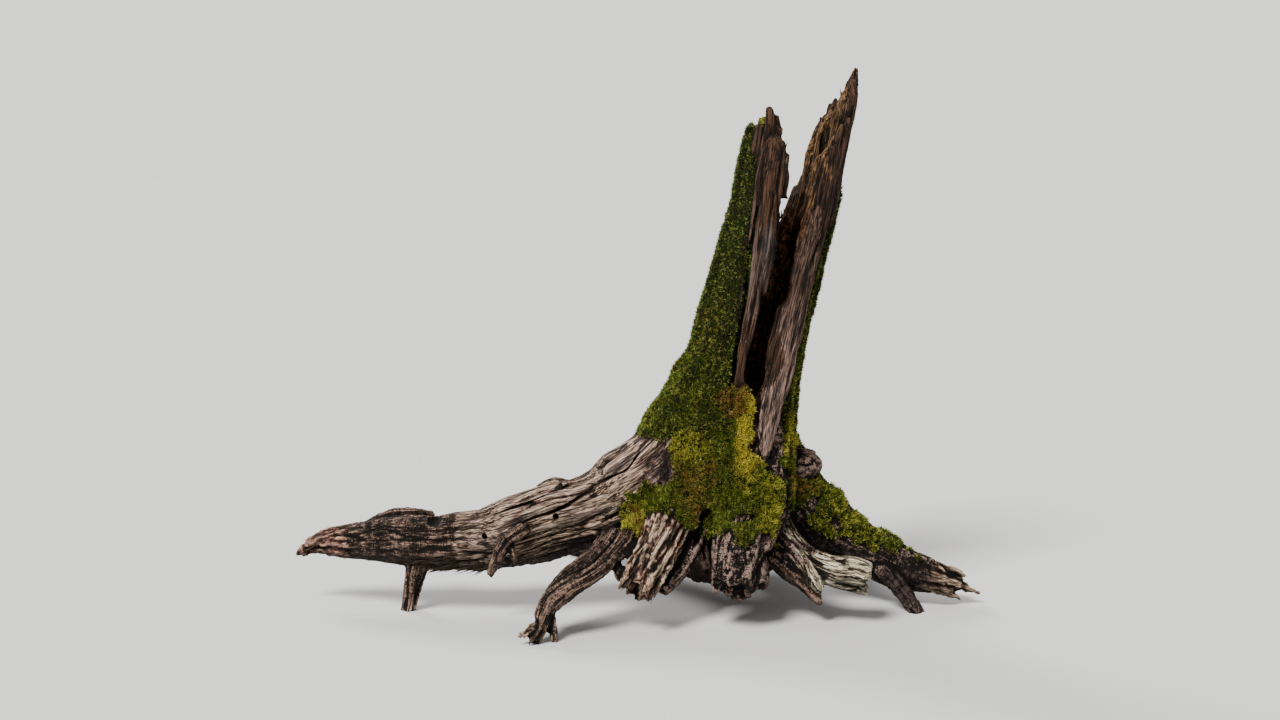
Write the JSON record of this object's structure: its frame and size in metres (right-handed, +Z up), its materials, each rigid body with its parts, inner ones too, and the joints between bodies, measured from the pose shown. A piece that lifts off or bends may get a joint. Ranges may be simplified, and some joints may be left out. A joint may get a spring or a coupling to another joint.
{
  "type": "tree stump",
  "caption": "Weathered hollow tree stump with a split, leaning trunk and spread roots with torn ends, standing on its root tips.",
  "frame": {"origin": "on the ground, under the middle of the stump's footprint", "axes": "+Z up; the stump's front, with the open slot of the hollow, faces -Y; the long root lies towards -X, so X is the longest extent and Y the shortest"},
  "size_m": [1.6754, 0.8322, 1.2981],
  "materials": {
    "weathered_wood": "weathered, split and rotted conifer wood: pale grey-beige where bleached, pinkish-brown where freshly split, purple-brown bark on the roots, green moss on the shaded flank"
  },
  "bodies": {
    "root": {"stump": "weathered_wood"}
  },
  "joints": []
}
